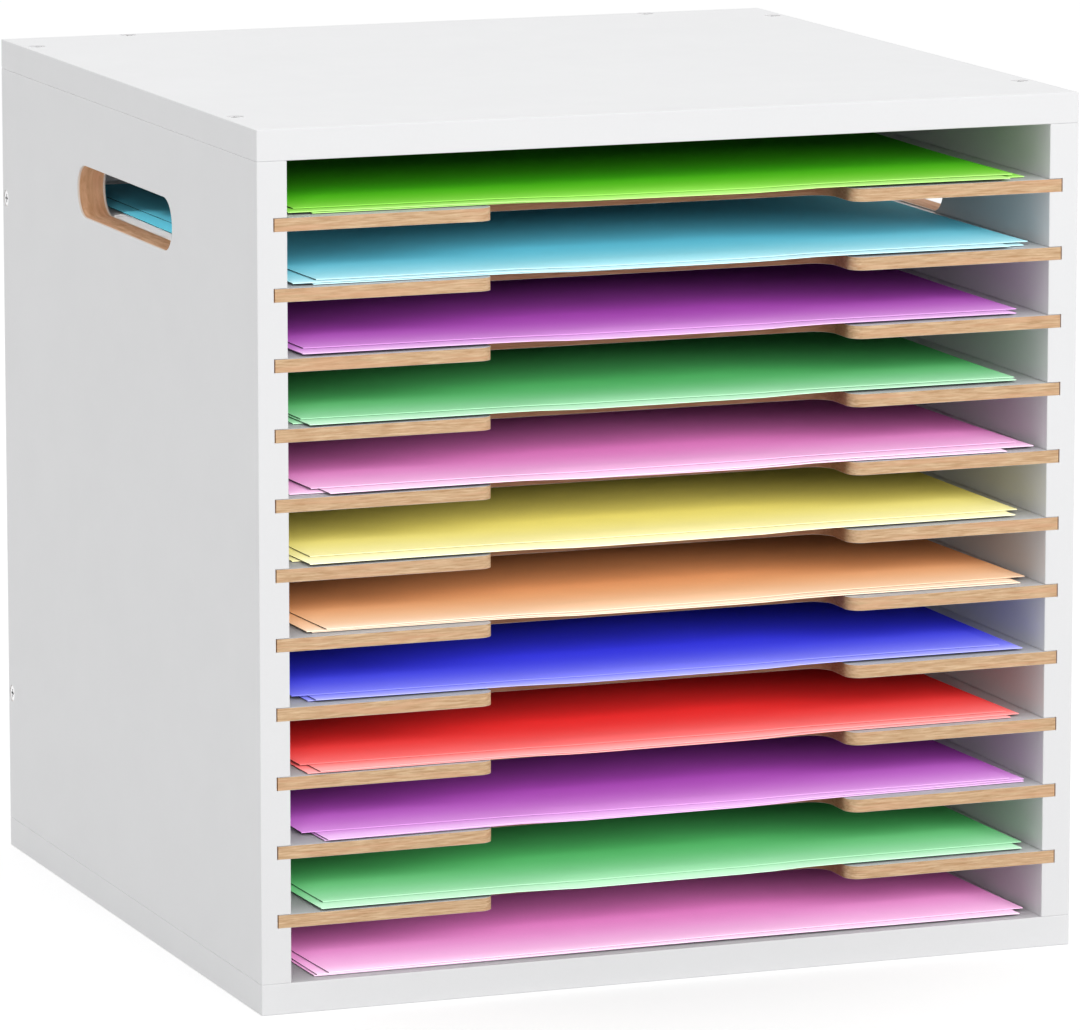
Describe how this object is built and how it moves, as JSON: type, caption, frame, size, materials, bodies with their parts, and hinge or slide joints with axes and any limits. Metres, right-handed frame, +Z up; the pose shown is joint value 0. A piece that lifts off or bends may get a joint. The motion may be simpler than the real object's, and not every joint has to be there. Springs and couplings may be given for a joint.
{
  "type": "scrapbook paper storage drawers",
  "caption": "Open-front white wooden box with slide-out shelves for square craft paper, finger notches in the shelves and a carrying slot in each side.",
  "frame": {"origin": "centre of the footprint, on the surface that the box stands on", "axes": "+Z up, the open front faces -Y, +X to the right seen from the front"},
  "size_m": [0.35, 0.338, 0.3521],
  "materials": {
    "white_panel": "satin white faces on a wood board",
    "white_shelf": "satin white faces on a thin wood board with bare edges",
    "screw_metal": "bright zinc plated",
    "paper_lime": "smooth coloured craft paper",
    "paper_cyan": "smooth coloured craft paper",
    "paper_orchid": "smooth coloured craft paper",
    "paper_mint": "smooth coloured craft paper",
    "paper_pink": "smooth coloured craft paper",
    "paper_yellow": "smooth coloured craft paper",
    "paper_peach": "smooth coloured craft paper",
    "paper_blue": "smooth coloured craft paper",
    "paper_red": "smooth coloured craft paper"
  },
  "bodies": {
    "cabinet": {"top_panel": "white_panel", "bottom_panel": "white_panel", "left_side_panel": "white_panel", "right_side_panel": "white_panel", "back_panel": "white_panel", "top_screws": "screw_metal", "bottom_screws": "screw_metal", "side_screws": "screw_metal", "paper_stack_12": "paper_pink"},
    "sliding_shelf_01": {"shelf_01": "white_shelf", "paper_stack_01": "paper_lime"},
    "sliding_shelf_02": {"shelf_02": "white_shelf", "paper_stack_02": "paper_cyan"},
    "sliding_shelf_03": {"shelf_03": "white_shelf", "paper_stack_03": "paper_orchid"},
    "sliding_shelf_04": {"shelf_04": "white_shelf", "paper_stack_04": "paper_mint"},
    "sliding_shelf_05": {"shelf_05": "white_shelf", "paper_stack_05": "paper_pink"},
    "sliding_shelf_06": {"shelf_06": "white_shelf", "paper_stack_06": "paper_yellow"},
    "sliding_shelf_07": {"shelf_07": "white_shelf", "paper_stack_07": "paper_peach"},
    "sliding_shelf_08": {"shelf_08": "white_shelf", "paper_stack_08": "paper_blue"},
    "sliding_shelf_09": {"shelf_09": "white_shelf", "paper_stack_09": "paper_red"},
    "sliding_shelf_10": {"shelf_10": "white_shelf", "paper_stack_10": "paper_orchid"},
    "sliding_shelf_11": {"shelf_11": "white_shelf", "paper_stack_11": "paper_mint"}
  },
  "joints": [
    {"name": "shelf_01_slide", "type": "slide", "parent": "cabinet", "child": "sliding_shelf_01", "axis": [0, -1, 0], "range_m": [0, 0.3]},
    {"name": "shelf_02_slide", "type": "slide", "parent": "cabinet", "child": "sliding_shelf_02", "axis": [0, -1, 0], "range_m": [0, 0.3]},
    {"name": "shelf_03_slide", "type": "slide", "parent": "cabinet", "child": "sliding_shelf_03", "axis": [0, -1, 0], "range_m": [0, 0.3]},
    {"name": "shelf_04_slide", "type": "slide", "parent": "cabinet", "child": "sliding_shelf_04", "axis": [0, -1, 0], "range_m": [0, 0.3]},
    {"name": "shelf_05_slide", "type": "slide", "parent": "cabinet", "child": "sliding_shelf_05", "axis": [0, -1, 0], "range_m": [0, 0.3]},
    {"name": "shelf_06_slide", "type": "slide", "parent": "cabinet", "child": "sliding_shelf_06", "axis": [0, -1, 0], "range_m": [0, 0.3]},
    {"name": "shelf_07_slide", "type": "slide", "parent": "cabinet", "child": "sliding_shelf_07", "axis": [0, -1, 0], "range_m": [0, 0.3]},
    {"name": "shelf_08_slide", "type": "slide", "parent": "cabinet", "child": "sliding_shelf_08", "axis": [0, -1, 0], "range_m": [0, 0.3]},
    {"name": "shelf_09_slide", "type": "slide", "parent": "cabinet", "child": "sliding_shelf_09", "axis": [0, -1, 0], "range_m": [0, 0.3]},
    {"name": "shelf_10_slide", "type": "slide", "parent": "cabinet", "child": "sliding_shelf_10", "axis": [0, -1, 0], "range_m": [0, 0.3]},
    {"name": "shelf_11_slide", "type": "slide", "parent": "cabinet", "child": "sliding_shelf_11", "axis": [0, -1, 0], "range_m": [0, 0.3]}
  ]
}
